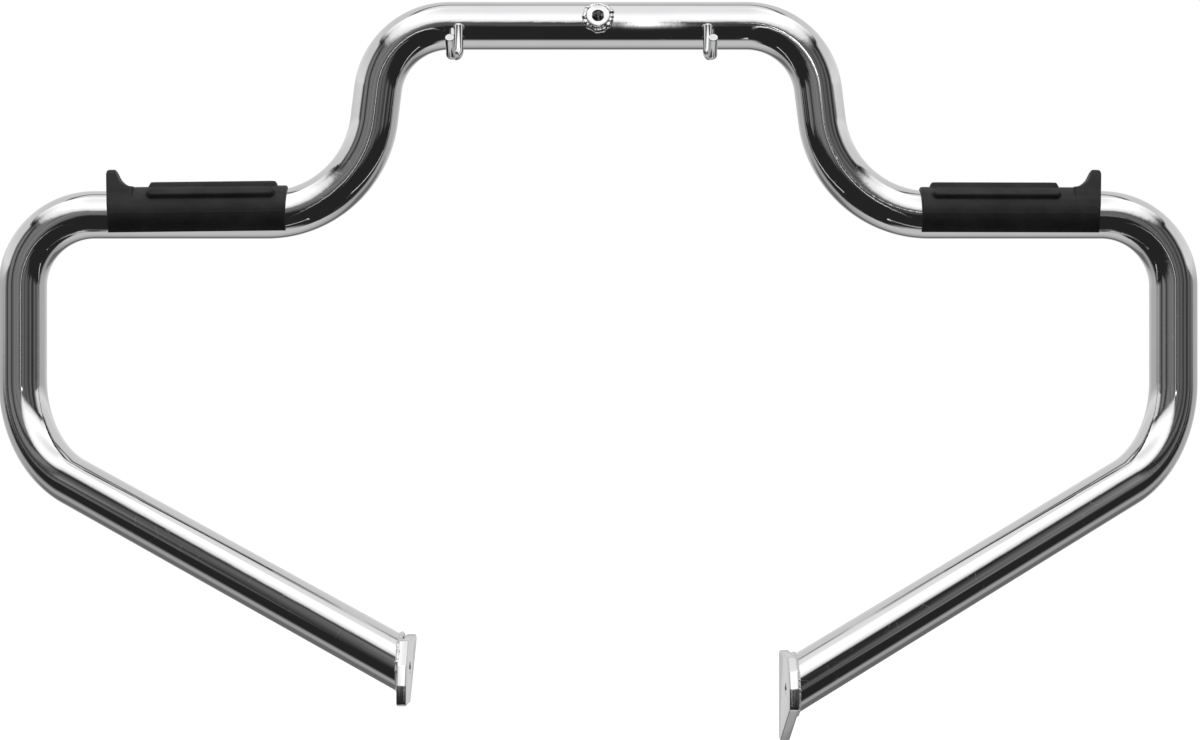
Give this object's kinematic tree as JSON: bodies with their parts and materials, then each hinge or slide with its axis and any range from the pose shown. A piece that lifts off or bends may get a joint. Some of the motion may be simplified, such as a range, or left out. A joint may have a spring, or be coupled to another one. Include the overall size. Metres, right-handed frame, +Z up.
{
  "type": "motorcycle crash bars",
  "caption": "Chromed bent tube loop with rubber foot pads, a threaded centre bung, rod hooks and end plates that bolt to the frame, guarding a motorcycle's engine and the rider's legs.",
  "frame": {"origin": "on the tube's axis in the middle of the top rail, in the centre bung's threaded hole", "axes": "+X to the rider's right along the top rail, -Y towards the rider, +Z up"},
  "size_m": [0.7986, 0.2144, 0.4743],
  "materials": {
    "bar_chrome": "polished",
    "pad_rubber": "matt"
  },
  "bodies": {
    "root": {"bar_tube": "bar_chrome", "centre_bung": "bar_chrome", "left_hook": "bar_chrome", "right_hook": "bar_chrome", "left_mount_plate": "bar_chrome", "right_mount_plate": "bar_chrome", "left_foot_pad": "pad_rubber", "right_foot_pad": "pad_rubber"}
  },
  "joints": []
}
